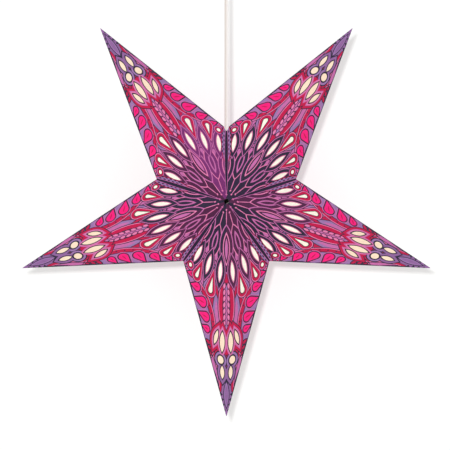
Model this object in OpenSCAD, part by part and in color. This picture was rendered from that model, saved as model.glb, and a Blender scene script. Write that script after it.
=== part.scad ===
// Paper star lantern: five folded card points glued valley to valley, each lined
// with thin paper behind its cut windows, hung on a lampholder, cord and ceiling rose.
// Millimetres. +Z is up and -Y is the front. The origin is on the ceiling.

/* [Star] */
// Centre of the star to the tip of a point, in the star's own plane
tip_r = 315.5; // [262:0.5:380]
// Centre of the star to a valley corner, in the star's own plane
valley_r = 107.5; // [89:0.5:129]
// Star's middle plane to its raised centre, front or back
half_depth = 95; // [79:1:114]
// Thickness of the printed card
card_t = 0.5; // [0.4:0.05:0.8]
// Width of the glue flaps inside the valleys
flap_w = 12; // [9:0.5:15]
// Straight snip that keeps the ends of the ridges apart at the centre
centre_snip = 3.5; // [2.5:0.5:5]

/* [Windows] */
// Start of the petal windows, as a share of the ridge from the centre
petal_at = 0.285; // [0.26:0.005:0.3]
// Length of a petal window
petal_len = 31; // [24:1:33]
// Width of a petal window
petal_w = 6.8; // [5:0.2:8]
// Points of the drop windows between the petals, as a share of the ridge
drop_at = 0.375; // [0.36:0.005:0.38]
// Length of the drop window nearest the ridge
drop_len = 26; // [18:1:28]
// Radius of its round end
drop_r = 4.2; // [3:0.1:5]
// Length and round end of the other drop window, as a share of the first
small_drop = 0.75; // [0.6:0.05:0.9]
// Radius of the round window by the valley corner
dot_r = 3; // [2:0.1:3.6]
// Start of the bud windows in the outer half of a point, as a share of the ridge
bud_at = 0.605; // [0.59:0.005:0.615]
// Length of the bud window nearest the ridge
bud_len = 32; // [28:1:34]
// Width of the bud window nearest the ridge
bud_w = 9.6; // [7:0.2:10]
// Ridge to the middle of that bud window's start
bud_rise = 8; // [7:0.5:9]
// Length and width of the other bud window, as a share of the first
small_bud = 0.75; // [0.6:0.05:0.85]
// Radius of the round window past the buds
moon_r = 6; // [4:0.1:6.2]
// Start of the last window before the tip, as a share of the ridge
spear_at = 0.765; // [0.76:0.005:0.775]
// Length of the last window before the tip
spear_len = 20; // [15:1:22]
// Width of the last window before the tip
spear_w = 8; // [5:0.2:8.4]

/* [Lining] */
// Thickness of the thin paper behind the windows
lining_t = 0.15; // [0.1:0.05:0.3]
// Glue plane of the valleys to the edge of the lining
lining_inset = 1.5; // [1:0.1:2]
// Tip of a point to the end of its lining
lining_tip_gap = 40; // [34:1:48]

/* [Ties] */
// Thickness of the cotton string
tie_d = 1.2; // [0.8:0.1:1.6]
// Play between the string and its punched hole
tie_play = 0.15; // [0.1:0.05:0.3]
// Valley corner to the outer pair of ties, along the valley
tie_outer = 72; // [64:1:80]
// Valley corner to the inner pair of ties, along the valley
tie_inner = 112; // [104:1:118]
// Diameter of a knot
knot_d = 3.2; // [2.4:0.1:4]

/* [Lampholder] */
// Outer radius of the lampholder's body
holder_r = 14; // [12:0.5:17]
// Length of the lampholder's body
holder_len = 46; // [42:1:52]
// Wall of the lampholder's body and cap
holder_wall = 2.5; // [1.5:0.1:3]
// How far the carrier ring stands out from the body
ring_lip = 7; // [6:0.5:9]
// Height of the carrier ring
ring_h = 5; // [3:0.5:7]
// Width of the ledge with which the card rests on the ring
ledge_w = 4; // [2:0.5:4.5]
// Height of the lampholder's cap
cap_h = 7.5; // [6:0.5:9]
// Radius of the lampholder's cord grip
holder_grip_r = 4.5; // [3.5:0.1:5]
// Height of the lampholder's cord grip
holder_grip_h = 2.5; // [2:0.5:3.5]
// Height of the insulating insert
insert_h = 10; // [8:0.5:12]
// Radius of the bulb's screw cap
bulb_cap_r = 7; // [6:0.1:7.5]
// Length of the bulb's screw cap
bulb_cap_len = 21; // [18:0.5:23]
// Diameter of the bulb's globe
globe_d = 45; // [38:1:50]

/* [Cord] */
// Diameter of the cord
cord_d = 5.4; // [5:0.1:6.4]
// Play around the cord in the star's top corner
cord_play = 0.8; // [0.5:0.1:1.5]

/* [Ceiling rose] */
// Outer radius of the rose's cover
rose_r = 40; // [36:1:48]
// Height of the rose's cover
rose_h = 36; // [32:1:38]
// Wall of the rose's cover and base
rose_wall = 2; // [1.5:0.1:3]
// Radius of the rounding round the cover's lower edge
rose_round = 9; // [6:1:12]
// Thickness of the rose's base plate
base_t = 3; // [2:0.5:4]
// Distance between the two ceiling screw holes
screw_spacing = 50; // [40:1:56]
// Radius of a ceiling screw hole
screw_hole_r = 2.25; // [1.5:0.05:2.6]

/* [Hidden] */
$fn = 64;
// Direction of each point, in degrees from +X towards +Z
UPPER_LEFT = 126;
UPPER_RIGHT = 54;
RIGHT = -18;
BOTTOM = -90;
LEFT = 198;
half_step = 36;
// A cut runs this far past what it cuts
past = 1;
// Play between parts that fit one in the other
fit_play = 0.1;

// Route of the cord, from the ceiling rose's grip down to the lampholder's grip
CORD_ROUTE = [
    [0, 0, -44], [0, 0, -58], [0, 0, -72], [0, 0, -86], [0, 0, -100], [0, 0, -114],
    [0, 0, -128], [0, 0, -142], [0, 0, -156], [0, 0, -170], [0, 0, -184], [0, 0, -198],
    [0, 0, -212], [0, 0, -226], [0, 0, -240], [0, 0, -255], [0, 0, -270]
];
cord_top_z = CORD_ROUTE[0][2];
cord_end_z = CORD_ROUTE[len(CORD_ROUTE) - 1][2];
cord_sides = 10;

// The star hangs on the carrier ring: the ledge's height above the star's centre
// follows from where the inner edges of the two seam flaps are as far apart as the ring
valley_len = sqrt(pow(half_depth, 2) + pow(valley_r, 2));
ring_r = holder_r + ring_lip;
ledge_y = ring_r - ledge_w;
ledge_height = valley_r * (1 - (ledge_y + flap_w * valley_len / valley_r) / half_depth);
ring_top_z = cord_end_z - holder_grip_h - cap_h;
star_z = ring_top_z - ledge_height;

// Where the insert's contact meets the bulb
contact_h = 2;
contact_r = 2;
insert_top_z = ring_top_z - holder_wall;
shell_top_z = insert_top_z - insert_h;
bulb_top_z = shell_top_z - contact_h;

// Fits of the ceiling rose
cover_gap = 0.5;
spigot_play = 0.3;
spigot_r = rose_r - rose_wall - spigot_play;
spigot_h = 12;
cover_screw_r = 1.5;
cover_screw_z = -8;
grip_shank_r = 5;
grip_flange_r = 9;
nut_h = 4;

// One point in its own frame: its tip lies along +X, Y is the star's depth
valley_x = valley_r * cos(half_step);
valley_z = valley_r * sin(half_step);
face_cross = [
    half_depth * valley_z, tip_r * valley_z, half_depth * (tip_r - valley_x)
];
face_n = face_cross / norm(face_cross);
face_d = face_n[0] * tip_r;
ridge_len = norm([tip_r, half_depth]);
// The valley corner on a face laid flat, with the ridge along the face's x axis
corner_x = (valley_x * tip_r + pow(half_depth, 2)) / ridge_len;
corner_y = norm(face_cross) / ridge_len;
face_angle = atan2(corner_y, corner_x);

// Corners of the hollow wedge that one point is, moved in by t from its four faces
// and by g from the two planes where it meets its neighbours
function wedge_tip(t) = [(face_d - t) / face_n[0], 0, 0];
function wedge_centre(t, g, side) =
    let (x = g / sin(half_step)) [x, side * (face_d - t - face_n[0] * x) / face_n[1], 0];
function wedge_valley(t, g, side) =
    let (
        det = face_n[0] * cos(half_step) + face_n[2] * sin(half_step),
        x = ((face_d - t) * cos(half_step) + face_n[2] * g) / det,
        z = ((face_d - t) * sin(half_step) - face_n[0] * g) / det
    ) [x, 0, side * z];

module wedge(t, g) {
    polyhedron(
        points = [
            wedge_tip(t), wedge_centre(t, g, -1), wedge_centre(t, g, 1),
            wedge_valley(t, g, 1), wedge_valley(t, g, -1)
        ],
        faces = [[0, 1, 3], [0, 4, 1], [0, 3, 2], [0, 2, 4], [1, 2, 3], [1, 4, 2]]
    );
}

// Lays children, drawn flat with the ridge along x, on one face of a point
module on_face(front_back, up_down) {
    ridge_dir = [tip_r, half_depth, 0] / ridge_len;
    out = [face_n[0], -face_n[1], face_n[2]];
    across = cross(out, ridge_dir);
    mirror([0, front_back > 0 ? 1 : 0, 0])
        mirror([0, 0, up_down < 0 ? 1 : 0])
            multmatrix([
                [ridge_dir[0], across[0], out[0], 0],
                [ridge_dir[1], across[1], out[1], -half_depth],
                [ridge_dir[2], across[2], out[2], 0],
                [0, 0, 0, 1]
            ])
                children();
}

// A window with two round sides that meet in a point at each end
module leaf_cut(length, width) {
    side_r = (pow(length, 2) + pow(width, 2)) / (4 * width);
    intersection_for(side = [-1, 1])
        translate([length / 2, side * (side_r - width / 2), -past - card_t])
            cylinder(r = side_r, h = 2 * past + card_t, $fn = 180);
}

// A window with one round end, its point at the origin
module drop_cut(length, end_r) {
    reach = length - end_r;
    turn = 90 + asin(end_r / reach);
    arc_steps = 14;
    translate([0, 0, -past - card_t])
        linear_extrude(2 * past + card_t)
            polygon(concat([[0, 0]], [
                for (i = [0 : arc_steps])
                    let (a = turn * (2 * i / arc_steps - 1))
                        [reach + end_r * cos(a), end_r * sin(a)]
            ]));
}

module round_cut(r) {
    translate([0, 0, -past - card_t])
        cylinder(r = r, h = 2 * past + card_t);
}

// The windows of one face: a fan of petals, drops between them, then buds to the tip
module windows() {
    petals = 3;
    petal_pitch = face_angle / petals;
    dot_turn = 0.86 * face_angle;
    bud_lean = 2;
    bud_spread = 17;
    bud_x = bud_at * ridge_len;
    for (i = [0 : petals - 1])
        rotate([0, 0, (i + 0.5) * petal_pitch])
            translate([petal_at * ridge_len, 0, 0])
                leaf_cut(petal_len, petal_w);
    for (i = [1 : petals - 1])
        rotate([0, 0, i * petal_pitch])
            translate([drop_at * ridge_len, 0, 0])
                drop_cut(drop_len * pow(small_drop, i - 1), drop_r * pow(small_drop, i - 1));
    rotate([0, 0, dot_turn])
        translate([drop_at * ridge_len + 4 * dot_r, 0, 0])
            round_cut(dot_r);
    for (i = [0, 1])
        translate([bud_x, bud_rise + i * bud_w, 0])
            rotate([0, 0, bud_lean + i * bud_spread])
                leaf_cut(bud_len * pow(small_bud, i), bud_w * pow(small_bud, i));
    translate([bud_x + bud_len + 2 * moon_r, 2 * moon_r, 0])
        round_cut(moon_r);
    translate([spear_at * ridge_len, spear_w + 1, 0])
        rotate([0, 0, -bud_lean])
            leaf_cut(spear_len, spear_w);
}

// Opens a glue wall so that only the flaps along its two valleys stay
module flap_opening(side) {
    apex = valley_r - flap_w * valley_len / half_depth;
    end_y = half_depth - flap_w * valley_len / valley_r;
    rotate([0, -side * half_step, 0])
        translate([0, 0, side * past])
            mirror([0, 0, side > 0 ? 1 : 0])
                linear_extrude(card_t + 2 * past)
                    polygon([
                        [apex, 0], [0, end_y], [-flap_w, end_y], [-flap_w, -end_y], [0, -end_y]
                    ]);
}

// What the closing seam needs: the cord's hole, the ledge on the ring and the string holes
module seam_cuts() {
    translate([0, 0, ledge_height + cap_h])
        cylinder(r = cord_d / 2 + cord_play, h = valley_r);
    translate([0, 0, ledge_height - ring_h - past])
        cylinder(r = ring_r + fit_play, h = ring_h + past);
    for (depth_side = [-1, 1])
        for (along = [tie_outer, tie_inner])
            at_tie_hole(along, depth_side)
                rotate([0, 90, 0])
                    cylinder(r = tie_d / 2 + tie_play, h = 2 * (card_t + past), center = true);
}

// Places children at a string hole, halfway across the flap, with Z along the valley
module at_tie_hole(along, depth_side) {
    slant = atan2(half_depth, valley_r);
    translate([0, 0, valley_r])
        rotate([depth_side * slant, 0, 0])
            translate([0, -depth_side * flap_w / 2, -along])
                children();
}

module point_sheet(angle, is_seam) {
    color("mediumvioletred")
        translate([0, 0, star_z])
            difference() {
                rotate([0, -angle, 0])
                    difference() {
                        wedge(0, 0);
                        wedge(card_t, card_t);
                        for (side = [-1, 1])
                            flap_opening(side);
                        for (front_back = [-1, 1])
                            for (up_down = [-1, 1])
                                on_face(front_back, up_down)
                                    windows();
                        translate([-tip_r, -tip_r, -tip_r])
                            cube([tip_r + centre_snip, 2 * tip_r, 2 * tip_r]);
                    }
                if (is_seam)
                    seam_cuts();
            }
}

module lining_sheet(angle, is_seam) {
    start = centre_snip + lining_inset;
    color("antiquewhite")
        translate([0, 0, star_z])
            difference() {
                rotate([0, -angle, 0])
                    difference() {
                        wedge(card_t, card_t + lining_inset);
                        wedge(card_t + lining_t, -past);
                        translate([-tip_r, -tip_r, -tip_r])
                            cube([tip_r + start, 2 * tip_r, 2 * tip_r]);
                        translate([tip_r - lining_tip_gap, -tip_r, -tip_r])
                            cube([2 * tip_r, 2 * tip_r, 2 * tip_r]);
                    }
                if (is_seam)
                    seam_cuts();
            }
}

// A loop of string through the flaps' holes and round their free edge, with its knot
module tie(along, depth_side) {
    loop_r = flap_w / 2;
    knot_turn = 55;
    color("ivory")
        translate([0, 0, star_z])
            at_tie_hole(along, depth_side)
                translate([0, -depth_side * loop_r, 0]) {
                    rotate_extrude()
                        translate([loop_r, 0])
                            circle(d = tie_d, $fn = 24);
                    rotate([0, 0, -depth_side * knot_turn])
                        translate([loop_r, 0, 0])
                            sphere(d = knot_d, $fn = 24);
                }
}

module lampholder_grip() {
    color("white")
        translate([0, 0, ring_top_z + cap_h])
            cylinder(r = holder_grip_r, h = holder_grip_h);
}

module lampholder_cap() {
    foot_r = holder_r - 0.5;
    top_r = holder_grip_r + holder_wall;
    color("white")
        translate([0, 0, ring_top_z])
            difference() {
                cylinder(r1 = foot_r, r2 = top_r, h = cap_h);
                translate([0, 0, -past])
                    cylinder(
                        r1 = foot_r - holder_wall, r2 = top_r - holder_wall,
                        h = cap_h - holder_wall + past
                    );
            }
}

module lampholder_body() {
    color("white")
        translate([0, 0, ring_top_z - holder_len])
            difference() {
                cylinder(r = holder_r, h = holder_len);
                translate([0, 0, -past])
                    cylinder(r = holder_r - holder_wall, h = holder_len - holder_wall + past);
                cylinder(r = cord_d / 2, h = holder_len + past);
            }
}

module carrier_ring() {
    color("white")
        translate([0, 0, ring_top_z - ring_h])
            difference() {
                cylinder(r = ring_r, h = ring_h);
                translate([0, 0, -past])
                    cylinder(r = holder_r, h = ring_h + 2 * past);
            }
}

module socket_insert() {
    color("gainsboro") {
        translate([0, 0, shell_top_z])
            cylinder(r = holder_r - holder_wall, h = insert_h);
        translate([0, 0, bulb_top_z])
            cylinder(r = contact_r, h = contact_h);
    }
}

module socket_shell() {
    shell_wall = 0.8;
    shell_len = bulb_cap_len + contact_h;
    color("goldenrod")
        translate([0, 0, shell_top_z - shell_len])
            difference() {
                cylinder(r = bulb_cap_r + fit_play + shell_wall, h = shell_len);
                translate([0, 0, -past])
                    cylinder(r = bulb_cap_r + fit_play, h = shell_len + 2 * past);
            }
}

module bulb() {
    tip_h = 2;
    neck_top_z = bulb_top_z - tip_h - bulb_cap_len;
    neck_len = 13;
    neck_r = 11;
    // The neck runs this far into the globe
    neck_sunk = 1;
    globe_z = neck_top_z - neck_len + neck_sunk - sqrt(pow(globe_d / 2, 2) - pow(neck_r, 2));
    color("lemonchiffon") {
        translate([0, 0, bulb_top_z - tip_h])
            cylinder(r1 = bulb_cap_r - 1.5, r2 = contact_r + 1, h = tip_h);
        translate([0, 0, neck_top_z])
            cylinder(r = bulb_cap_r, h = bulb_cap_len);
        translate([0, 0, neck_top_z - neck_len])
            cylinder(r1 = neck_r, r2 = bulb_cap_r + 0.5, h = neck_len);
        translate([0, 0, globe_z])
            sphere(d = globe_d, $fn = 96);
    }
}

// A ring of the cord's outline round one point of its route
function cord_ring(centre) = [
    for (i = [0 : cord_sides - 1])
        centre + cord_d / 2 * [cos(i * 360 / cord_sides), sin(i * 360 / cord_sides), 0]
];

module cord() {
    last = len(CORD_ROUTE) - 1;
    walls = [
        for (ring = [0 : last - 1])
            for (i = [0 : cord_sides - 1])
                let (
                    j = (i + 1) % cord_sides,
                    a = ring * cord_sides,
                    b = a + cord_sides
                ) [a + i, a + j, b + j, b + i]
    ];
    top = [for (i = [cord_sides - 1 : -1 : 0]) i];
    end = [for (i = [0 : cord_sides - 1]) last * cord_sides + i];
    color("linen")
        polyhedron(
            points = [for (centre = CORD_ROUTE) each cord_ring(centre)],
            faces = concat(walls, [top], [end])
        );
}

module rose_base() {
    wire_hole_r = 5;
    wire_hole_y = -14;
    color("whitesmoke")
        difference() {
            translate([0, 0, -spigot_h])
                cylinder(r = spigot_r, h = spigot_h, $fn = 96);
            translate([0, 0, -spigot_h - past])
                cylinder(r = spigot_r - rose_wall, h = spigot_h - base_t + past, $fn = 96);
            translate([0, wire_hole_y, -spigot_h])
                cylinder(r = wire_hole_r, h = spigot_h + past);
            for (side = [-1, 1])
                translate([side * screw_spacing / 2, 0, -spigot_h])
                    cylinder(r = screw_hole_r, h = spigot_h + past);
            translate([0, 0, cover_screw_z])
                rotate([0, 90, 0])
                    cylinder(r = cover_screw_r, h = 2 * rose_r + past, center = true);
        }
}

// Half section of the cover, its lower edge rounded with an arc
function cover_outline(r, floor_z, round_r) = [
    [0, floor_z],
    for (a = [-90 : 15 : 0])
        [r - round_r + round_r * cos(a), floor_z + round_r + round_r * sin(a)],
    [r, 0], [0, 0]
];

module rose_cover() {
    color("whitesmoke")
        difference() {
            intersection() {
                rotate_extrude($fn = 96)
                    polygon(cover_outline(rose_r, -rose_h, rose_round));
                translate([0, 0, -rose_h])
                    cylinder(r = rose_r, h = rose_h - cover_gap);
            }
            rotate_extrude($fn = 96)
                polygon(cover_outline(rose_r - rose_wall, -rose_h + rose_wall,
                    rose_round - rose_wall));
            translate([0, 0, -rose_h - past])
                cylinder(r = grip_shank_r, h = rose_wall + 2 * past);
            translate([0, 0, cover_screw_z])
                rotate([0, 90, 0])
                    cylinder(r = cover_screw_r + fit_play, h = 2 * rose_r + past, center = true);
        }
}

module rose_grip() {
    flange_h = 2;
    color("whitesmoke") {
        translate([0, 0, -rose_h])
            cylinder(r = grip_shank_r, h = rose_wall + nut_h);
        translate([0, 0, -rose_h - flange_h])
            cylinder(r = grip_flange_r, h = flange_h);
        translate([0, 0, cord_top_z])
            cylinder(r1 = cord_d / 2 + 1.5, r2 = grip_flange_r - 1.5,
                h = -rose_h - flange_h - cord_top_z);
    }
}

module rose_nut() {
    color("whitesmoke")
        translate([0, 0, -rose_h + rose_wall])
            difference() {
                cylinder(r = grip_flange_r, h = nut_h, $fn = 6);
                translate([0, 0, -past])
                    cylinder(r = grip_shank_r, h = nut_h + 2 * past);
            }
}

module terminal_block() {
    size = [24, 10, 13];
    back_y = 10;
    pole_x = 6;
    color("ivory")
        difference() {
            translate([-size[0] / 2, back_y, -base_t - size[2]])
                cube(size);
            for (side = [-1, 1]) {
                translate([side * pole_x, back_y + size[1] / 2, -base_t - size[2] - past])
                    cylinder(r = 2, h = size[2] / 2);
                translate([side * pole_x, back_y - past, -base_t - size[2] * 0.6])
                    rotate([-90, 0, 0])
                        cylinder(r = 1.8, h = size[1] + 2 * past);
            }
        }
}

module cover_screw(side) {
    head_r = 3;
    head_h = 2;
    color("silver")
        translate([0, 0, cover_screw_z])
            rotate([0, side * 90, 0]) {
                translate([0, 0, spigot_r - rose_wall - 1])
                    cylinder(r = cover_screw_r, h = rose_r - spigot_r + rose_wall + 1);
                translate([0, 0, rose_r])
                    cylinder(r = head_r, h = head_h);
            }
}

point_sheet(UPPER_LEFT, true);  // point_upper_left
point_sheet(UPPER_RIGHT, true);  // point_upper_right
point_sheet(RIGHT, false);  // point_right
point_sheet(BOTTOM, false);  // point_bottom
point_sheet(LEFT, false);  // point_left
lining_sheet(UPPER_LEFT, true);  // lining_upper_left
lining_sheet(UPPER_RIGHT, true);  // lining_upper_right
lining_sheet(RIGHT, false);  // lining_right
lining_sheet(BOTTOM, false);  // lining_bottom
lining_sheet(LEFT, false);  // lining_left
tie(tie_outer, -1);  // tie_front_outer
tie(tie_inner, -1);  // tie_front_inner
tie(tie_outer, 1);  // tie_back_outer
tie(tie_inner, 1);  // tie_back_inner
lampholder_grip();
lampholder_cap();
lampholder_body();
carrier_ring();
socket_insert();
socket_shell();
bulb();
cord();
rose_base();
rose_cover();
rose_grip();
rose_nut();
terminal_block();
cover_screw(-1);  // cover_screw_left
cover_screw(1);  // cover_screw_right
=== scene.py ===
# Paper star lantern: five folded points of printed and cut card, lined with thin
# paper, tied shut over a lampholder and bulb, and hung by its cord from a ceiling rose.
# The card is drawn in millimetres on one flat face and folded up; the rest is metres.
import math

import bmesh
import bpy
from mathutils import Matrix, Vector
from mathutils.geometry import delaunay_2d_cdt


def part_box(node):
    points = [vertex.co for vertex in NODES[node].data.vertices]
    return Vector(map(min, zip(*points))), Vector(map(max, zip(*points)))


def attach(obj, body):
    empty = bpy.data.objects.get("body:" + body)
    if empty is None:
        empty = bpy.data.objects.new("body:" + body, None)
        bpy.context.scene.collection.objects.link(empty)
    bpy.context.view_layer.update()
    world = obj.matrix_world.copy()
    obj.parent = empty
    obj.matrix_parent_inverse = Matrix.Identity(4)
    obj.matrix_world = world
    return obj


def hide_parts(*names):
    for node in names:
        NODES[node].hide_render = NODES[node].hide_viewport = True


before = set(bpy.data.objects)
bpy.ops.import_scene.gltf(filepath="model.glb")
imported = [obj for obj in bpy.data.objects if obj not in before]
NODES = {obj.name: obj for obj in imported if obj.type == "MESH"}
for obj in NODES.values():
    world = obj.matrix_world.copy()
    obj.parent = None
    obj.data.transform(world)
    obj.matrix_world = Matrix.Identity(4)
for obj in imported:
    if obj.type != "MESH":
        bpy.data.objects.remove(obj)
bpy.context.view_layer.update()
MM = 0.001

# Direction of each point from +X towards +Z, in degrees
POINT_TURNS = {
    "upper_left": 126, "upper_right": 54, "right": -18, "bottom": -90, "left": 198,
}
# The side of a point that closes the star at its top corner, where the cord comes out
SEAM_SIDES = {("upper_left", -1), ("upper_right", 1)}
HALF_STEP = math.radians(36)
SIDE_TURN = math.radians(18)

# Sizes of the folded card, in millimetres: its thickness, the snip at the centre, the glue
# flaps, the setback of a fold's round edge, the swell of a face and the radii of holes
CARD = 0.5
SNIP = 3.5
FLAP = 12.0
FOLD = 0.32
BOW = 0.7
CORD_HOLE = 3.5
TIE_HOLE = 0.75
# Places of the string holes along the valley, from its corner
TIES_AT = (72.0, 112.0)
# Points nearer than this are one point
WELD = 0.001

# The four sizes that drive the star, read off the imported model
bottom_low, bottom_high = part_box("point_bottom")
tip_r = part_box("point_right")[1].x / math.cos(SIDE_TURN) / MM
valley_r = bottom_high.x / math.sin(HALF_STEP) / MM
star_z = bottom_low.z + tip_r * MM
half_depth = -bottom_low.y / MM / (1 - SNIP / tip_r)

# One face of a point: its ridge runs along x from the raised centre to the tip
TIP = Vector((tip_r, 0, 0))
RAISED = Vector((0, -half_depth, 0))
VALLEY = Vector((valley_r * math.cos(HALF_STEP), 0, valley_r * math.sin(HALF_STEP)))
ALONG = (TIP - RAISED).normalized()
OUT = (TIP - RAISED).cross(VALLEY - RAISED).normalized()
ACROSS = OUT.cross(ALONG)
ridge_len = (TIP - RAISED).length
valley_len = (VALLEY - RAISED).length
corner = Vector(((VALLEY - RAISED).dot(ALONG), (VALLEY - RAISED).dot(ACROSS)))
face_angle = math.degrees(math.atan2(corner.y, corner.x))

# Colours of the print, as sRGB
PALETTE = {
    "navy": (38, 26, 54),
    "plum": (78, 25, 66),
    "magenta": (120, 42, 110),
    "mauve": (198, 106, 168),
    "pink": (230, 126, 176),
    "hot_pink": (250, 18, 126),
    "crimson": (194, 8, 72),
    "lavender": (156, 116, 172),
    "violet": (142, 98, 154),
}
# The dark ground round the centre, by point and by side
GROUNDS = {
    ("upper_left", 1): "plum", ("upper_left", -1): "magenta",
    ("upper_right", 1): "navy", ("upper_right", -1): "navy",
    ("right", 1): "plum", ("right", -1): "navy",
    ("bottom", 1): "plum", ("bottom", -1): "navy",
    ("left", 1): "plum", ("left", -1): "navy",
}


# Camera

VIEW_WIDTH = 0.659
VIEW_CENTRE = (-0.00205, -0.034)
CAMERA_DISTANCE = 5.0
SENSOR = 36.0


def link(thing):
    bpy.context.scene.collection.objects.link(thing)
    return thing


def add_camera():
    lens = bpy.data.cameras.new("camera")
    lens.sensor_width = SENSOR
    lens.lens = SENSOR * CAMERA_DISTANCE / VIEW_WIDTH
    camera = link(bpy.data.objects.new("camera", lens))
    camera.location = (VIEW_CENTRE[0], -CAMERA_DISTANCE, star_z + VIEW_CENTRE[1])
    camera.rotation_euler = (math.radians(90), 0, 0)
    bpy.context.scene.camera = camera


# Materials

def linear(rgb):
    """An sRGB colour of 0 to 255 as the linear one that a shader takes."""
    parts = [c / 255 for c in rgb]
    return [c / 12.92 if c <= 0.04045 else ((c + 0.055) / 1.055) ** 2.4 for c in parts] + [1]


class Nodes:
    """A material's node tree, with short calls for the nodes that patterns need."""

    def __init__(self, name, rgb, roughness):
        self.material = bpy.data.materials.new(name)
        self.material.use_nodes = True
        self.material.diffuse_color = linear(rgb)
        self.tree = self.material.node_tree
        self.shader = self.tree.nodes["Principled BSDF"]
        self.shader.inputs["Base Color"].default_value = linear(rgb)
        self.shader.inputs["Roughness"].default_value = roughness

    def add(self, kind, inputs=None, **settings):
        made = self.tree.nodes.new("ShaderNode" + kind)
        for key, value in settings.items():
            setattr(made, key, value)
        for key, value in (inputs or {}).items():
            self.join(value, made.inputs[key])
        return made

    def join(self, value, socket):
        if isinstance(value, bpy.types.NodeSocket):
            self.tree.links.new(value, socket)
        else:
            socket.default_value = value

    def place(self, stretch=(1, 1, 1)):
        coordinates = self.add("TexCoord").outputs["Object"]
        return self.add("Mapping", {"Vector": coordinates, "Scale": stretch}).outputs[0]

    def noise(self, scale, detail=3.0, stretch=(1, 1, 1)):
        inputs = {"Vector": self.place(stretch), "Scale": scale, "Detail": detail}
        return self.add("TexNoise", inputs).outputs["Fac"]

    def spread(self, value, low, high, start=0.3, end=0.7):
        inputs = {"Value": value, "From Min": start, "From Max": end, "To Min": low, "To Max": high}
        return self.add("MapRange", inputs).outputs["Result"]

    def times(self, a, b):
        return self.add("Math", {0: a, 1: b}, operation="MULTIPLY").outputs[0]

    def colour(self, rgb, value):
        inputs = {"Color": linear(rgb), "Value": value}
        self.join(self.add("HueSaturation", inputs).outputs[0], self.shader.inputs["Base Color"])

    def bump(self, height, strength, distance):
        inputs = {"Height": height, "Strength": strength, "Distance": distance}
        self.join(self.add("Bump", inputs).outputs[0], self.shader.inputs["Normal"])


def paper_grain(nodes, mottle=0.06, fibre=0.05):
    """Cloudy ink and short fibres, as on handmade paper. Returns the fibres' height."""
    cloud = nodes.spread(nodes.noise(140, 4), 1 - mottle, 1 + mottle)
    fleck = nodes.spread(nodes.noise(900, 2), 1 - mottle, 1 + mottle)
    strand = nodes.noise(95, 3, stretch=(1, 2, 9))
    hair = nodes.spread(strand, 1 + fibre, 1 - fibre / 2, start=0.34, end=0.5)
    return nodes.times(cloud, nodes.times(fleck, hair)), strand


def print_material(name, rgb):
    """Ink on card: a little uneven, with the paper's fibres in its surface."""
    nodes = Nodes("print_" + name, rgb, 0.72)
    shade, strand = paper_grain(nodes)
    nodes.colour(rgb, shade)
    nodes.shader.inputs["Specular IOR Level"].default_value = 0.32
    nodes.join(nodes.spread(nodes.noise(420), 0.62, 0.8), nodes.shader.inputs["Roughness"])
    nodes.bump(strand, 0.25, 0.0002)
    return nodes.material


def plain_paper(name, rgb, roughness=0.86):
    nodes = Nodes(name, rgb, roughness)
    shade, strand = paper_grain(nodes, mottle=0.03, fibre=0.04)
    nodes.colour(rgb, shade)
    nodes.shader.inputs["Specular IOR Level"].default_value = 0.25
    nodes.bump(strand, 0.3, 0.0003)
    return nodes.material


# Distances from the star's centre where the lining stops being cream and is all peach
CREAM_R, PEACH_R = 0.125, 0.2


def lining_material():
    """Thin paper that is cream near the star's centre and peach towards the tips."""
    nodes = Nodes("lining_paper", (255, 250, 234), 0.88)
    place = nodes.add("TexCoord").outputs["Object"]
    inputs = {0: place, 1: (0, 0, star_z)}
    out = nodes.add("VectorMath", inputs, operation="DISTANCE").outputs["Value"]
    share = nodes.spread(out, 0, 1, start=CREAM_R, end=PEACH_R)
    blend = nodes.add("Mix", {"Factor": share}, data_type="RGBA")
    blend.inputs[6].default_value = linear((255, 252, 238))
    blend.inputs[7].default_value = linear((255, 230, 204))
    shade, strand = paper_grain(nodes, mottle=0.025, fibre=0.05)
    toned = nodes.add("HueSaturation", {"Color": blend.outputs[2], "Value": shade})
    nodes.join(toned.outputs[0], nodes.shader.inputs["Base Color"])
    nodes.shader.inputs["Specular IOR Level"].default_value = 0.25
    nodes.bump(strand, 0.4, 0.0003)
    return nodes.material


def plastic(name, rgb, roughness=0.34):
    """Moulded plastic with a faint uneven gloss."""
    nodes = Nodes(name, rgb, roughness)
    nodes.colour(rgb, nodes.spread(nodes.noise(60), 0.985, 1.01))
    nodes.join(nodes.spread(nodes.noise(300), roughness - 0.05, roughness + 0.08),
               nodes.shader.inputs["Roughness"])
    nodes.bump(nodes.noise(1400, 2), 0.06, 0.0001)
    return nodes.material


def metal(name, rgb, roughness):
    nodes = Nodes(name, rgb, roughness)
    nodes.shader.inputs["Metallic"].default_value = 1.0
    nodes.colour(rgb, nodes.spread(nodes.noise(400), 0.94, 1.04))
    nodes.join(nodes.spread(nodes.noise(250, 2, stretch=(1, 1, 8)), roughness - 0.08, roughness + 0.1),
               nodes.shader.inputs["Roughness"])
    return nodes.material


def string_material():
    """Twisted cotton: fine slanted strands, with painted shade in the grooves between them."""
    nodes = Nodes("cotton_string", (238, 230, 212), 0.9)
    wave = nodes.add("TexWave", {"Vector": nodes.place((1, 1, 1.6)), "Scale": 900, "Distortion": 1.5},
                     bands_direction="DIAGONAL")
    strands = wave.outputs["Fac"]
    # Painted shade: the colour darkens where the strands' bump is lowest, in the grooves.
    nodes.colour((238, 230, 212), nodes.spread(strands, 0.86, 1.03, start=0, end=1))
    nodes.bump(strands, 0.6, 0.0003)
    return nodes.material


def glass_material():
    """White coated glass, faintly uneven in tone."""
    nodes = Nodes("opal_glass", (250, 246, 236), 0.16)
    nodes.colour((250, 246, 236), nodes.spread(nodes.noise(30), 0.985, 1.01))
    nodes.shader.inputs["Coat Weight"].default_value = 0.3
    nodes.shader.inputs["Coat Roughness"].default_value = 0.08
    return nodes.material


# Flat shapes, as outlines that run anticlockwise, in millimetres

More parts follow.
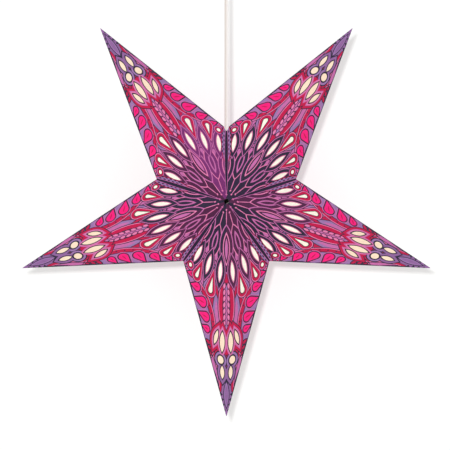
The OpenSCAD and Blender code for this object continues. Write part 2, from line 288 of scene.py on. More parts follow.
def shape(*corners):
    return [Vector(p) for p in corners]


def polar(r, degrees):
    turn = math.radians(degrees)
    return Vector((r * math.cos(turn), r * math.sin(turn)))


def arc(centre, r, start, end, steps):
    return [Vector(centre) + polar(r, start + (end - start) * i / steps) for i in range(steps + 1)]


def leaf(length, width, steps=10):
    """Two round sides that meet in a point at each end, from the origin along x."""
    side_r = (length ** 2 + width ** 2) / (4 * width)
    half = math.degrees(math.asin(min(1, length / 2 / side_r)))
    rise = side_r - width / 2
    low = arc((length / 2, rise), side_r, -90 - half, -90 + half, steps)
    high = arc((length / 2, -rise), side_r, 90 - half, 90 + half, steps)
    return low + high[1:-1]


def leaf_inset(length, width, by, steps=14):
    """The same leaf with its sides moved in by a distance, or out where negative."""
    side_r = (length ** 2 + width ** 2) / (4 * width)
    rise = side_r - width / 2
    inner_length = 2 * math.sqrt((side_r - by) ** 2 - rise ** 2)
    return placed(leaf(inner_length, width - 2 * by, steps), ((length - inner_length) / 2, 0))


def drop(length, end_r, steps=14):
    """A round end, and a point at the origin."""
    reach = length - end_r
    turn = 90 + math.degrees(math.asin(end_r / reach))
    return [Vector((0, 0))] + arc((reach, 0), end_r, -turn, turn, steps)


def disc(r, steps=14):
    return arc((0, 0), r, 0, 360, steps)[:-1]


def placed(outline, at, degrees=0):
    turn = Matrix.Rotation(math.radians(degrees), 2)
    return [Vector(at) + turn @ p for p in outline]


def grown(outline, by, reach=2.2):
    """The outline moved out by a distance, its sharp points by no more than reach times it."""
    moved = []
    for before, here, after in zip(outline[-1:] + outline[:-1], outline, outline[1:] + outline[:1]):
        a = (here - before).normalized()
        b = (after - here).normalized()
        way = Vector((a.y + b.y, -a.x - b.x)).normalized()
        cosine = max(way.dot(Vector((a.y, -a.x))), 1 / reach)
        moved.append(here + way * by / cosine)
    return moved


def smooth_line(points, steps=5):
    """A round line through a few points."""
    ends = [2 * points[0] - points[1]] + points + [2 * points[-1] - points[-2]]
    line = []
    for p0, p1, p2, p3 in zip(ends, ends[1:], ends[2:], ends[3:]):
        for i in range(steps):
            t = i / steps
            line.append(0.5 * (2 * p1 + (p2 - p0) * t + (2 * p0 - 5 * p1 + 4 * p2 - p3) * t ** 2
                               + (3 * p1 - p0 - 3 * p2 + p3) * t ** 3))
    return line + [points[-1]]


def stroke(points, width, blunt=0.25):
    """A brush line through points, thinner at its ends."""
    line = smooth_line(shape(*points))
    left, right = [], []
    for i, here in enumerate(line):
        way = (line[min(i + 1, len(line) - 1)] - line[max(i - 1, 0)]).normalized()
        swell = blunt + (1 - blunt) * math.sin(math.pi * i / (len(line) - 1)) ** 0.6
        side = Vector((-way.y, way.x)) * width / 2 * swell
        left.append(here + side)
        right.append(here - side)
    return right + left[::-1]


def area(outline):
    return sum(a.x * b.y - a.y * b.x for a, b in zip(outline, outline[1:] + outline[:1])) / 2


# The cut windows of one face, as in the card that they are cut from

PETALS = 3
PETAL_PITCH = face_angle / PETALS
PETAL_AT = 0.285 * ridge_len
PETAL_LEN, PETAL_W = 31.0, 6.8
DROP_AT = 0.375 * ridge_len
DROP_LEN, DROP_R, SMALL_DROP = 26.0, 4.2, 0.75
DOT_R = 3.0
DOT_TURN = 0.86 * face_angle
BUD_AT = 0.605 * ridge_len
BUD_LEN, BUD_W, BUD_RISE, SMALL_BUD = 32.0, 9.6, 8.0, 0.75
BUD_LEAN, BUD_SPREAD = 2.0, 17.0
MOON_R = 6.0
SPEAR_AT = 0.765 * ridge_len
SPEAR_LEN, SPEAR_W = 20.0, 8.0


def cut_windows():
    """The windows of a face, by kind."""
    petal_turns = [(i + 0.5) * PETAL_PITCH for i in range(PETALS)]
    petals = [placed(leaf(PETAL_LEN, PETAL_W, 14), polar(PETAL_AT, turn), turn) for turn in petal_turns]
    drops = []
    for i in range(1, PETALS):
        share = SMALL_DROP ** (i - 1)
        turn = i * PETAL_PITCH
        drops.append(placed(drop(DROP_LEN * share, DROP_R * share), polar(DROP_AT, turn), turn))
    buds = []
    for i in (0, 1):
        outline = leaf(BUD_LEN * SMALL_BUD ** i, BUD_W * SMALL_BUD ** i, 14)
        buds.append(placed(outline, (BUD_AT, BUD_RISE + i * BUD_W), BUD_LEAN + i * BUD_SPREAD))
    moon_at = (BUD_AT + BUD_LEN + 2 * MOON_R, 2 * MOON_R)
    return {
        "petal": petals,
        "drop": drops,
        "dot": [placed(disc(DOT_R, 20), polar(DROP_AT + 4 * DOT_R, DOT_TURN))],
        "bud": buds,
        "moon": [placed(disc(MOON_R, 26), moon_at)],
        "spear": [placed(leaf(SPEAR_LEN, SPEAR_W, 12), (SPEAR_AT, SPEAR_W + 1), -BUD_LEAN)],
    }


# The print, from the bottom layer up

# Rims round the windows, from the outermost in: distance and colour
RIMS = {
    "petal": ((8.2, "ground"), (6.9, "mauve"), (5.6, "ground"), (1.2, "pink")),
    "drop": ((8.0, "ground"), (6.7, "pink"), (5.4, "crimson"), (1.4, "ground")),
    "dot": ((5.8, "ground"), (4.6, "mauve"), (3.2, "crimson"), (1.2, "ground")),
    "bud": ((9.4, "navy"), (8.2, "crimson"), (4.6, "mauve"), (3.0, "pink"), (1.8, "navy")),
    "moon": ((7.4, "navy"), (5.6, "lavender"), (2.4, "navy")),
    "spear": ((7.4, "navy"), (5.6, "violet"), (1.8, "navy")),
}


def leaves(length, width, at, turn, levels):
    """Leaves one inside the other, each with its distance in and its colour."""
    return [(placed(leaf_inset(length, width, by), at, turn), colour) for by, colour in levels]


def drops(length, end_r, at, turn, levels):
    """Drops one inside the other."""
    marks = []
    for by, colour in levels:
        small = end_r - by
        start = (length - end_r) * (1 - small / end_r)
        marks.append((placed(placed(drop((length - end_r) * small / end_r + small, small), (start, 0)),
                             at, turn), colour))
    return marks


def rim_marks(windows):
    """Rims of all windows, the widest first, so that neighbours' rims join."""
    rims = []
    for kind, outlines in windows.items():
        for by, colour in RIMS[kind]:
            for outline in outlines:
                rims.append((by, grown(outline, by), colour))
    rims.sort(key=lambda rim: -rim[0])
    return [(outline, colour) for by, outline, colour in rims]


side_way = (Vector((ridge_len, 0)) - corner).normalized()
side_in = Vector((side_way.y, -side_way.x))
side_turn = math.degrees(math.atan2(side_way.y, side_way.x))


def from_edge(s, deep):
    """A place s along the outer edge from the valley corner, and so deep in the face."""
    return corner + side_way * s + side_in * deep


def arch_height(share):
    """Height of an arch as a share of its middle's, at a share of its span."""
    return math.sin(math.pi * share) ** 0.75


def edge_arch(start, end, deep, lift=-4.0, steps=18):
    """A low arch that stands on the outer edge."""
    rise = [from_edge(start + (end - start) * i / steps, deep * arch_height(i / steps))
            for i in range(1, steps)]
    return [from_edge(end, lift), from_edge(start, lift)] + rise


STEM_W = 1.6


def centre_marks():
    """Dark ground round the centre, under a fan of nested leaves."""
    marks = [(disc(98, 60), "ground"), (disc(96, 60), "mauve"), (disc(86, 60), "ground")]
    middle = face_angle / 2
    for turn in (0.5 * middle, 1.5 * middle):
        marks += leaves(44, 13, polar(56, turn), turn, ((0, "mauve"), (2.2, "ground")))
    marks += leaves(64, 24, polar(38, middle), middle,
                    ((0, "pink"), (1.5, "ground"), (7.0, "mauve"), (9.4, "ground")))
    levels = ((0, "mauve"), (1.7, "ground"), (7.2, "pink"), (9.0, "ground"), (11.4, "mauve"))
    marks += leaves(76, 29, polar(34, face_angle), face_angle, levels)
    marks += leaves(76, 29, polar(34, 0), 0, levels)
    for turn, start in ((0, 14), (face_angle, 14), (middle, 20)):
        stem = [polar(start + step, turn) for step in (0, 10, 22)]
        marks.append((stroke(stem, STEM_W), "pink"))
        marks.append((placed(disc(STEM_W, 10), polar(start - 1, turn)), "pink"))
    return marks


DASH_ROWS, DASHES = 2, 6
DASH_STEP = 8.8


def corner_marks_and_valley_shade():
    """A dark navy band along the valley, partly the print's dark line there and partly painted shade in
    the fold, with rows of dark dashes beside it out to the corner.
    """
    start = corner + polar(-68, face_angle) + polar(3.4, face_angle - 90)
    marks = leaves(74, 10.4, start, face_angle, ((-1.0, "ground"), (0, "crimson"), (1.0, "lavender")))
    for row in range(DASH_ROWS):
        for i in range(DASHES):
            at = (corner + polar(-55 + DASH_STEP * (i + row / 2), face_angle)
                  + polar(3.9 + 2.9 * row, face_angle - 90))
            marks.append((placed(leaf(6.0, 2.2, 4), at, face_angle - 2 * row), "navy"))
    # Painted shade in the valley fold, over the print's navy line there: a long navy leaf with a mauve
    # rim.
    marks += leaves(150, 5.2, polar(16, face_angle), face_angle, ((-0.8, "mauve"), (0, "navy")))
    return marks


# The arches on the outer edge: start and end along it, and height
SMALL_ARCH = (112, 204, 17)
BIG_ARCH = (4, 152, 37)
# The drops under the big arch: place along the edge, length, width and lean in degrees
EDGE_DROPS = ((22, 15, 9, 62), (40, 21, 13, 60), (61, 26, 15.5, 58), (83, 24, 14.5, 54),
              (103, 17, 10.5, 50))
BEADS, BEAD_STEP, BEAD_R = 12, 12.2, 1.5
HEM_STEPS, HEM_WAVES = 24, 4.5


def edge_marks():
    """Drops under a low arch along the outer edge, and a smaller arch towards the tip."""
    marks = []
    arches = (
        (SMALL_ARCH, ((0, "navy"), (1.2, "crimson"), (6.6, "pink"), (8.0, "navy"), (9.4, "mauve"))),
        (BIG_ARCH, ((0, "ground"), (1.4, "pink"), (2.8, "crimson"), (9.6, "ground"), (11.4, "lavender"))),
    )
    for (start, end, deep), levels in arches:
        for inset, colour in levels:
            marks.append((edge_arch(start + inset, end - inset, deep - inset), colour))
    for s, length, width, lean in EDGE_DROPS:
        turn = side_turn - lean
        at = from_edge(s - 6, 2.6)
        marks.append((grown(placed(drop(length, width / 2), at, turn), 3.4), "mauve"))
        marks += drops(length, width / 2, at, turn, ((-1.9, "navy"), (0, "hot_pink")))
        marks += leaves(length * 0.5, 1.9, at + polar(length * 0.36, turn), turn, ((0, "crimson"),))
    for i in range(3):
        marks += leaves(11 - 2 * i, 4.4 - 0.8 * i, from_edge(119 + 9 * i, 2.6), side_turn - 40 + 6 * i,
                        ((-1.6, "navy"), (0, "crimson")))
    start, end, deep = BIG_ARCH
    for i in range(BEADS):
        s = start + 7 + BEAD_STEP * i
        height = (deep - 6.2) * arch_height((s - start) / (end - start))
        marks.append((placed(disc(BEAD_R, 8), from_edge(s, height)), "plum"))
    hem = []
    for i in range(HEM_STEPS + 1):
        wave = abs(math.sin(math.pi * HEM_WAVES * i / HEM_STEPS))
        hem.append(from_edge(206 - 212 * i / HEM_STEPS, 0.8 + 2.6 * wave))
    marks.append(([from_edge(-6, -3), from_edge(206, -3)] + hem, "navy"))
    return marks


def outer_marks():
    """Ribbons between the centre and the tip."""
    marks = [(shape((96, -4), (206, -4), (206, 40), (120, 66)), "mauve")]
    marks += leaves(170, 74, (98, 26), -5,
                    ((0, "ground"), (1.6, "lavender"), (5.0, "pink"), (6.4, "crimson"), (13.8, "navy"),
                     (15.2, "mauve"), (17.4, "lavender"), (20.0, "crimson"), (26.4, "navy"),
                     (27.8, "lavender"), (32.0, "mauve")))
    marks += leaves(116, 36, (102, 0), 0,
                    ((0, "navy"), (1.6, "pink"), (3.0, "crimson"), (9.8, "navy"), (11.4, "lavender"),
                     (13.6, "mauve")))
    for i in range(7):
        marks += leaves(9.5, 4.2, (124 + 9.6 * i, 3.0), 14, ((-1.3, "plum"), (0, "pink")))
    return marks


TEETH = 8


def tip_marks():
    """A violet tip with dark teeth along its edge."""
    marks = [(shape((190, -4), (274, -4), (274, 50), (190, 60)), "mauve")]
    marks += leaves(92, 46, (196, 6), -4,
                    ((0, "navy"), (1.6, "crimson"), (8, "navy"), (9.6, "pink"), (12, "mauve")))
    for i in range(5):
        marks += leaves(11, 5, (204 + 13 * i, 0), 0, ((-1.5, "navy"), (0, "crimson")))
    marks.append((shape((258, -4), (340, -4), (340, 10), (214, 70), (248, 27)), "violet"))
    marks.append((shape((266, -4), (270, -4), (262, 40), (257, 40)), "navy"))
    for i in range(TEETH):
        s = 168 + 8.2 * i
        size = 9.6 - 0.85 * i
        marks.append(([from_edge(s - size * 0.6, -1), from_edge(s + size * 0.8, -1),
                       from_edge(s + size * 0.4, size)], "navy"))
    marks += leaves(46, 13, (272, 0), 0, ((0, "navy"), (1.5, "lavender"), (3.4, "violet")))
    return marks


def print_marks(windows):
    return (outer_marks() + tip_marks() + centre_marks() + edge_marks() + rim_marks(windows)
            + corner_marks_and_valley_shade())


# Folding the face up

def arrangement(base, marks, holes, ground="mauve"):
    """Triangles of a flat sheet, each in the colour of the last mark over it."""
    points, rings = [], []
    for outline in [base] + [mark[0] for mark in marks] + holes:
        turned = outline if area(outline) > 0 else outline[::-1]
        rings.append(list(range(len(points), len(points) + len(turned))))
        points.extend(turned)
    flat, _, triangles, _, _, sources = delaunay_2d_cdt(points, [], rings, 0, WELD)
    colours = [ground] + [mark[1] for mark in marks]
    kept = []
    for triangle, found in zip(triangles, sources):
        if 0 in found and max(found) < len(colours):
            kept.append((tuple(triangle), colours[max(found)]))
    return flat, kept


def rims_of(triangles):
    """The closed runs of points round a sheet of triangles and round its holes."""
    edges = {}
    for corners in triangles:
        for a, b in zip(corners, corners[1:] + corners[:1]):
            if (b, a) in edges:
                del edges[b, a]
            else:
                edges[a, b] = True
    follow = dict(edges.keys())
    runs = []
    while follow:
        start, here = follow.popitem()
        run = [start]
        while here != start:
            run.append(here)
            here = follow.pop(here)
        runs.append(run)
    return runs


def line_at(a, b, inset=0.0):
    """The line from a to b as its inward normal and distance, moved in by inset."""
    way = (b - a).normalized()
    normal = Vector((-way.y, way.x))
    return normal, normal.dot(a) + inset


def meet(a, b):
    (m, d), (n, e) = a, b
    det = m.x * n.y - m.y * n.x
    return Vector(((d * n.y - e * m.y) / det, (m.x * e - n.x * d) / det))


def run_on(line, flat, loop):
    """The points of a loop that lie on a line, in the loop's direction."""
    normal, distance = line
    found = [i for i in loop if abs(normal.dot(flat[i]) - distance) < 2 * WELD]
    return sorted(found, key=lambda i: normal.y * flat[i].x - normal.x * flat[i].y)


FLAT_RIM = 0.012


def bow(p):
    """How far the card stands out from its plane: most in mid-face, nothing at the folds.
    In mid-face each of the three shares is a third, so 27 times their product is 1."""
    v = p.y / corner.y
    t = (p.x - v * corner.x) / ridge_len
    shares = [max(0.0, share - FLAT_RIM) for share in (v, t, 1 - v - t)]
    return BOW * 27 * shares[0] * shares[1] * shares[2]


def folded(p, sunk=0.0):
    """A point of the flat face in the folded star point's own frame."""
    return RAISED + ALONG * p.x + ACROSS * p.y + OUT * (bow(p) - sunk)


def wall_point(s, y, sunk=0.0):
    """A place on the glue flap: s out from the star's axis, y in front of its plane."""
    return Vector((s * math.cos(HALF_STEP) + sunk * math.sin(HALF_STEP), -y,
                   s * math.sin(HALF_STEP) - sunk * math.cos(HALF_STEP)))


def bridge(upper, lower):
    """Triangles that close the gap between two runs of points."""
    def shares(run):
        lengths = [0.0]
        for a, b in zip(run, run[1:]):
            lengths.append(lengths[-1] + (b - a).length)
        return [length / lengths[-1] for length in lengths]

    above, below = shares(upper), shares(lower)
    i = j = 0
    facets = []
    while i < len(upper) - 1 or j < len(lower) - 1:
        if j == len(lower) - 1 or (i < len(upper) - 1 and above[i + 1] <= below[j + 1]):
            facets.append([upper[i], upper[i + 1], lower[j]])
            i += 1
        else:
            facets.append([upper[i], lower[j + 1], lower[j]])
            j += 1
    return facets


# The face's four edges: ridge, outer edge, valley and the snip at the centre
FLAT_TIP = Vector((ridge_len, 0))
FLAT_CENTRE = Vector((0, 0))
SNIP_WAY = Vector((ALONG.x, ACROSS.x))


def snip_line(sunk):
    size = SNIP_WAY.length
    return SNIP_WAY / size, (SNIP + OUT.x * sunk) / size


def face_lines(fold):
    return (line_at(FLAT_CENTRE, FLAT_TIP, fold), line_at(FLAT_TIP, corner, fold),
            line_at(corner, FLAT_CENTRE, fold), snip_line(0))


def inner_lines(thick):
    """The same for the card's inner side, where its planes meet further in."""
    normal = Vector((OUT.x, -OUT.y, OUT.z))
    level = normal.x * tip_r - thick
    det = normal.x * math.cos(HALF_STEP) + normal.z * math.sin(HALF_STEP)
    x = thick / math.sin(HALF_STEP)
    centre = Vector((x, -(level - normal.x * x) / normal.y, 0))
    deep = Vector(((level * math.cos(HALF_STEP) + normal.z * thick) / det, 0,
                   (level * math.sin(HALF_STEP) - normal.x * thick) / det))
    tip = Vector((level / normal.x, 0, 0))
    flat = [Vector(((p - RAISED).dot(ALONG), (p - RAISED).dot(ACROSS))) for p in (centre, tip, deep)]
    return (line_at(flat[0], flat[1]), line_at(flat[1], flat[2]), line_at(flat[2], flat[0]),
            snip_line(thick))


def outline_of(lines):
    return [meet(a, b) for a, b in zip(lines[-1:] + lines[:-1], lines)]


def cord_notch():
    """Where the cord's round hole cuts the face at the star's top corner."""
    axis = VALLEY.normalized()
    outline = []
    for i in range(36):
        way = polar(1, 10 * i)
        spatial = ALONG * way.x + ACROSS * way.y
        outline.append(corner + way * CORD_HOLE / (spatial - axis * spatial.dot(axis)).length)
    return outline


free_s = valley_r - FLAP * valley_len / half_depth
free_y = half_depth - FLAP * valley_len / valley_r
# The ledge with which the seam's flaps rest on the carrier ring
FIT_PLAY = 0.1
ring_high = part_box("carrier_ring")[1]
ledge_r = ring_high.x / MM + FIT_PLAY
ledge_s = (ring_high.z - star_z) / MM


def free_at(s):
    return Vector((s, free_y * (1 - s / free_s)))


def free_edge(seam, sunk):
    """The glue flap's free edge, from the snip to the star's middle plane or the cord."""
    run = [free_at((SNIP - sunk * math.sin(HALF_STEP)) / math.cos(HALF_STEP))]
    if seam:
        run += [Vector((free_s * (1 - ledge_r / free_y), ledge_r)), Vector((ledge_s, ledge_r)),
                free_at(ledge_s), free_at(free_s * (1 - CORD_HOLE / free_y))]
    else:
        run.append(free_at(free_s))
    return run


def tie_holes():
    """The punched holes for the strings in half a seam flap, seen on the flap."""
    down = Vector((-valley_r, half_depth)) / valley_len
    inward = Vector((-half_depth, -valley_r)) / valley_len
    return [placed(disc(TIE_HOLE, 10), Vector((valley_r, 0)) + down * along + inward * FLAP / 2)
            for along in TIES_AT]


def rounded(inner, sharp, share=0.4):
    return inner + (sharp - inner) * share


def between(loop, first, last):
    """The points of a closed loop from one to another, in its direction."""
    start = loop.index(first)
    turned = loop[start:] + loop[:start]
    return turned[:turned.index(last) + 1]


def quarter(seam):
    """One face with its folds, half its glue flap and its inner side, as facets in the
    point's own frame: corners, and the colour or paper that they show."""
    windows = cut_windows()
    cuts = [outline for kind in windows.values() for outline in kind]
    notch = [cord_notch()] if seam else []
    lines = face_lines(FOLD)
    flat, sheet = arrangement(outline_of(lines), print_marks(windows), cuts + notch)
    facets = [([folded(flat[i]) for i in triangle], colour) for triangle, colour in sheet]
    colour_at = {}
    for triangle, colour in sheet:
        for a, b in zip(triangle, triangle[1:] + triangle[:1]):
            colour_at[a, b] = colour
    loops = rims_of([triangle for triangle, colour in sheet])
    loops.sort(key=lambda loop: min(flat[i].x for i in loop))
    rim, holes = loops[0], [[flat[i] for i in loop] for loop in loops[1:]]
    ridge, side, valley, snip = [run_on(line, flat, rim) for line in lines]

    def strip(run, shifted):
        for a, b, c, d in zip(run, run[1:], shifted, shifted[1:]):
            facets.append(([folded(flat[a]), folded(flat[b]), d, c], colour_at[a, b]))

    # Half of the round ridge and of the round side fold
    crest = []
    for i in ridge:
        p = folded(flat[i])
        crest.append(rounded(Vector((p.x, p.y, 0)), folded(Vector((flat[i].x, 0)))))
    hem = []
    for i in side:
        p = folded(flat[i])
        sharp = folded(flat[i] - lines[1][0] * FOLD)
        hem.append(rounded(Vector((p.x, 0, p.z)), Vector((sharp.x, 0, sharp.z))))
    strip(ridge, crest)
    strip(side, hem)
    nose = Vector((crest[-1].x, 0, 0))
    facets.append(([folded(flat[ridge[-1]]), crest[-1], nose, hem[0]], colour_at[ridge[-2], ridge[-1]]))

    # The valley fold, down to the top of the glue flap
    top = []
    for i in valley:
        r = flat[i].dot(corner.normalized())
        top.append(Vector((valley_r * r - half_depth * FOLD, half_depth * (valley_len - r)
                           - valley_r * FOLD)) / valley_len)
    if not seam:
        top[0] = Vector((valley_r - FOLD * valley_len / half_depth, 0))
    wall_top = [wall_point(p.x, p.y) for p in top]
    bend = []
    for i, w in zip(valley, wall_top):
        p = folded(flat[i])
        sharp = folded(flat[i] - lines[2][0] * FOLD)
        bend.append(rounded((p + w) / 2, sharp))
    strip(valley, bend)
    for a, b, c, d, i, j in zip(bend, bend[1:], wall_top, wall_top[1:], valley, valley[1:]):
        facets.append(([a, b, d, c], colour_at[i, j]))
    if not seam:
        facets.append(([folded(flat[valley[0]]), hem[-1], wall_top[0], bend[0]],
                       colour_at[valley[0], valley[1]]))

    # The inner side of the face, with the windows' cut edges
    inner = inner_lines(CARD)
    inner_flat, inner_sheet = arrangement(outline_of(inner), [], holes + notch, "card_back")
    facets += [([folded(inner_flat[i], CARD) for i in t], colour) for t, colour in inner_sheet]
    for hole in holes:
        for a, b in zip(hole, hole[1:] + hole[:1]):
            facets.append(([folded(a), folded(b), folded(b, CARD), folded(a, CARD)], "card_core"))
    inner_loops = rims_of([triangle for triangle, colour in inner_sheet])
    inner_loops.sort(key=lambda loop: min(inner_flat[i].x for i in loop))
    inner_rim = inner_loops[0]
    inner_side, inner_valley = [run_on(line, inner_flat, inner_rim) for line in inner[1:3]]
    inner_snip = run_on(inner[3], inner_flat, inner_rim)

    # The glue flap's two sides and its free edge
    outer_free, inner_free = free_edge(seam, 0), free_edge(seam, CARD)
    inner_top = []
    for i in inner_valley:
        p = folded(inner_flat[i], CARD)
        inner_top.append(Vector((VALLEY.normalized().dot(p), -p.y)))
    punched = tie_holes() if seam else []
    for run, free, sunk in ((top, outer_free, 0), (inner_top, inner_free, CARD)):
        flap_flat, flap_sheet = arrangement(run + free, [], punched, "card_back")
        facets += [([wall_point(*flap_flat[i], sunk) for i in t], colour) for t, colour in flap_sheet]
    for hole in punched:
        for a, b in zip(hole, hole[1:] + hole[:1]):
            facets.append(([wall_point(*a), wall_point(*b), wall_point(*b, CARD), wall_point(*a, CARD)],
                           "card_core"))
    upper = [wall_point(*p) for p in outer_free]
    lower = [wall_point(*p, CARD) for p in inner_free]
    facets += [(corners, "card_core") for corners in bridge(upper, lower)]

    # The snip at the centre, and the cord's notch
    upper = [wall_point(*outer_free[0]), wall_top[-1], bend[-1]]
    upper += [folded(flat[i]) for i in snip] + [crest[0]]
    lower = [wall_point(*inner_free[0], CARD)] + [folded(inner_flat[i], CARD) for i in inner_snip]
    facets += [(corners, "card_core") for corners in bridge(upper, lower)]
    if seam:
        outer_run = between(rim, side[-1], valley[0])
        inner_run = between(inner_rim, inner_side[-1], inner_valley[0])
        upper = [hem[-1]] + [folded(flat[i]) for i in outer_run]
        upper += [bend[0], wall_top[0], wall_point(*outer_free[-1])]
        lower = [folded(inner_flat[i], CARD) for i in inner_run] + [wall_point(*inner_free[-1], CARD)]
        facets += [(corners, "card_core") for corners in bridge(upper, lower)]
    return facets


SHARP_TURN = 12


def point_mesh(name, quarters, materials):
    """The folded sheet of one point, from four mirrored quarters."""
    slots = {}
    mesh = bpy.data.meshes.new("card_" + name)
    built = bmesh.new()
    turn = Matrix.Rotation(-math.radians(POINT_TURNS[name]), 4, "Y")
    for up_down in (1, -1):
        seam = (name, up_down) in SEAM_SIDES
        for front_back in (1, -1):
            mirror = Matrix.Diagonal((1, front_back, up_down, 1))
            place = Matrix.Translation((0, 0, star_z)) @ turn @ mirror @ Matrix.Scale(MM, 4)
            for corners, colour in quarters[seam]:
                shown = GROUNDS[name, up_down] if colour == "ground" else colour
                slot = slots.setdefault(shown, len(slots))
                verts = [built.verts.new(place @ p) for p in corners]
                facet = built.faces.new(verts if front_back * up_down > 0 else verts[::-1])
                facet.material_index = slot
                facet.smooth = True
    bmesh.ops.remove_doubles(built, verts=built.verts, dist=WELD * MM / 2)
    bmesh.ops.dissolve_degenerate(built, edges=built.edges, dist=WELD * MM / 4)
    bmesh.ops.recalc_face_normals(built, faces=built.faces)
    built.to_mesh(mesh)
    built.free()
    for shown in slots:
        mesh.materials.append(materials[shown])
    mesh.set_sharp_from_angle(angle=math.radians(SHARP_TURN))
    return mesh


def add_points():
    materials = {name: print_material(name, rgb) for name, rgb in PALETTE.items()}
    materials["card_back"] = plain_paper("card_back", (242, 236, 224))
    materials["card_core"] = plain_paper("card_core", (246, 238, 226))
    quarters = {seam: quarter(seam) for seam in (False, True)}
    for name in POINT_TURNS:
        piece = link(bpy.data.objects.new("card_" + name, point_mesh(name, quarters, materials)))
        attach(piece, "root")
        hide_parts("point_" + name)


# The cord, a flat twin flex, from the lampholder's grip up to the rose's grip

CORD_ROUTE = [
    (0, 0, -0.270), (0, 0, -0.255), (0, 0, -0.240), (0, 0, -0.226), (0, 0, -0.212),
    (0, 0, -0.198), (0, 0, -0.184), (0, 0, -0.170), (0, 0, -0.156), (0, 0, -0.142),
    (0, 0, -0.128), (0, 0, -0.114), (0, 0, -0.100), (0, 0, -0.086), (0, 0, -0.072),
    (0, 0, -0.058), (0, 0, -0.044),
]
CORD_WIDTH = 0.0054
CORE_R = 0.0015


def add_cord():
    """Two round cores side by side, joined where they touch, the left one with painted shade."""
    shift = CORD_WIDTH / 2 - CORE_R
    meet_turn = math.degrees(math.acos(shift / CORE_R))
    right = arc((shift, 0), CORE_R, meet_turn - 180, 180 - meet_turn, 14)
    left = arc((-shift, 0), CORE_R, meet_turn, 360 - meet_turn, 14)
    section = right + left[1:-1]
    count = len(section)
    verts = [Vector(centre) + Vector((p.x, p.y, 0)) for centre in CORD_ROUTE for p in section]
    faces = []
    for ring in range(len(CORD_ROUTE) - 1):
        start = ring * count
        for i in range(count):
            j = (i + 1) % count
            faces.append((start + i, start + j, start + count + j, start + count + i))
    faces.append(tuple(range(count))[::-1])
    faces.append(tuple(range(len(verts) - count, len(verts))))
    mesh = bpy.data.meshes.new("flex")
    mesh.from_pydata(verts, [], faces)
    mesh.materials.append(plastic("cord_sheath", (229, 226, 224), 0.42))
    # Painted shade: the left core gets a darker, pinker copy of the white sheath.
    mesh.materials.append(plastic("cord_sheath_painted_shade", (206, 198, 192), 0.42))
    for face in mesh.polygons:
        face.material_index = 1 if face.center.x < 0 else 0
        face.use_smooth = True
    mesh.set_sharp_from_angle(angle=math.radians(40))
    flex = link(bpy.data.objects.new("flex", mesh))
    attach(flex, "root")
    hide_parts("cord")


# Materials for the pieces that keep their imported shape

def finish_nodes():
    finishes = {
        lining_material(): ["lining_" + name for name in POINT_TURNS],
        string_material(): ["tie_front_outer", "tie_front_inner", "tie_back_outer", "tie_back_inner"],
        plastic("white_plastic", (240, 239, 235)): [
            "lampholder_grip", "lampholder_cap", "lampholder_body", "carrier_ring",
            "rose_base", "rose_cover", "rose_grip", "rose_nut", "terminal_block"],
        plastic("socket_insert", (222, 220, 214), 0.5): ["socket_insert"],
        metal("brass_shell", (205, 170, 95), 0.32): ["socket_shell"],
        glass_material(): ["bulb"],
        metal("steel", (196, 197, 200), 0.3): ["cover_screw_left", "cover_screw_right"],
    }
    for material, names in finishes.items():
        for name in names:
            data = NODES[name].data
            data.materials.clear()
            data.materials.append(material)


# Stage and light

STAGE_HALF = 2.6
WALL_Y = 0.1
WALL_LOW, WALL_HIGH = -1.2, 0.6
WALL_GLOW = 0.45
FLOOR_Z = -0.77
WORLD_LIGHT = 0.54
KEY_FROM = (-0.28, -4.0, 0.3)
KEY_WATTS = 100.0
KEY_SIZE = 0.25
BACK_FROM = (1.2, 4.0, 1.2)
BACK_WATTS = 110.0
BACK_SIZE = 1.5


def flat_plane(name, corners, material):
    mesh = bpy.data.meshes.new(name)
    mesh.from_pydata(corners, [], [(0, 1, 2, 3)])
    mesh.materials.append(material)
    plane = link(bpy.data.objects.new(name, mesh))


def seen_straight(nodes):
    """1 where a ray from the camera, a reflection or a clear piece meets the surface."""
    path = nodes.add("LightPath").outputs
    either = nodes.add("Math", {0: path["Is Camera Ray"], 1: path["Is Glossy Ray"]}, operation="MAXIMUM")
    return nodes.add("Math", {0: either.outputs[0], 1: path["Is Transmission Ray"]},
                     operation="MAXIMUM").outputs[0]


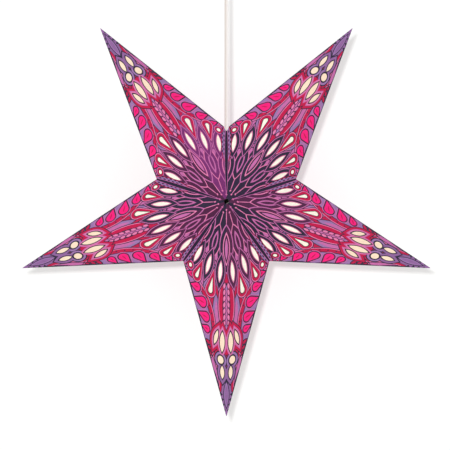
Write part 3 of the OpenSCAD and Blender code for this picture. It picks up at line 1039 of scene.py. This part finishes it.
def wall_material():
    """White wall with the star's shadow. It shows only from the front, and light passes
    through it, so that the star's back is lit as its front is."""
    nodes = Nodes("wall", (190, 192, 190), 0.9)
    nodes.shader.inputs["Specular IOR Level"].default_value = 0.0
    glow = nodes.add("Emission", {"Color": (1, 1, 1, 1), "Strength": WALL_GLOW})
    pale = nodes.add("AddShader", {0: nodes.shader.outputs[0], 1: glow.outputs[0]})
    front = nodes.add("Math", {0: 1.0, 1: nodes.add("NewGeometry").outputs["Backfacing"]},
                      operation="SUBTRACT")
    shown = nodes.times(seen_straight(nodes), front.outputs[0])
    clear = nodes.add("BsdfTransparent").outputs[0]
    end = nodes.add("MixShader", {0: shown, 1: clear, 2: pale.outputs[0]})
    nodes.join(end.outputs[0], nodes.tree.nodes["Material Output"].inputs["Surface"])
    return nodes.material


def add_stage():
    wide, low, high = STAGE_HALF, WALL_LOW, WALL_HIGH
    flat_plane("wall", [(-wide, WALL_Y, low), (wide, WALL_Y, low), (wide, WALL_Y, high),
                        (-wide, WALL_Y, high)], wall_material())
    floor = plain_paper("floor", (232, 231, 228))
    flat_plane("floor", [(-wide, -wide, FLOOR_Z), (wide, -wide, FLOOR_Z), (wide, wide, FLOOR_Z),
                         (-wide, wide, FLOOR_Z)], floor)


def add_lamp(name, place, watts, size):
    data = bpy.data.lights.new(name, "AREA")
    data.energy = watts
    data.size = size
    lamp = link(bpy.data.objects.new(name, data))
    target = Vector((0, 0, star_z))
    lamp.location = target + Vector(place)
    lamp.rotation_euler = (target - lamp.location).to_track_quat("-Z", "Y").to_euler()


def add_world():
    world = bpy.data.worlds.new("world")
    bpy.context.scene.world = world
    world.use_nodes = True
    tree = world.node_tree
    sky = tree.nodes["Background"]
    sky.inputs["Color"].default_value = (1, 1, 1, 1)
    path = tree.nodes.new("ShaderNodeLightPath")
    seen = path.outputs["Is Camera Ray"]
    for kind in ("Is Glossy Ray", "Is Transmission Ray"):
        either = tree.nodes.new("ShaderNodeMath")
        either.operation = "MAXIMUM"
        tree.links.new(seen, either.inputs[0])
        tree.links.new(path.outputs[kind], either.inputs[1])
        seen = either.outputs[0]
    level = tree.nodes.new("ShaderNodeMapRange")
    level.inputs["To Min"].default_value = WORLD_LIGHT
    level.inputs["To Max"].default_value = 1.0
    tree.links.new(seen, level.inputs["Value"])
    tree.links.new(level.outputs["Result"], sky.inputs["Strength"])


bpy.context.scene.view_settings.view_transform = "Standard"
add_camera()
add_cord()
add_points()
finish_nodes()
add_stage()
add_lamp("key", KEY_FROM, KEY_WATTS, KEY_SIZE)
add_lamp("back", BACK_FROM, BACK_WATTS, BACK_SIZE)
add_world()
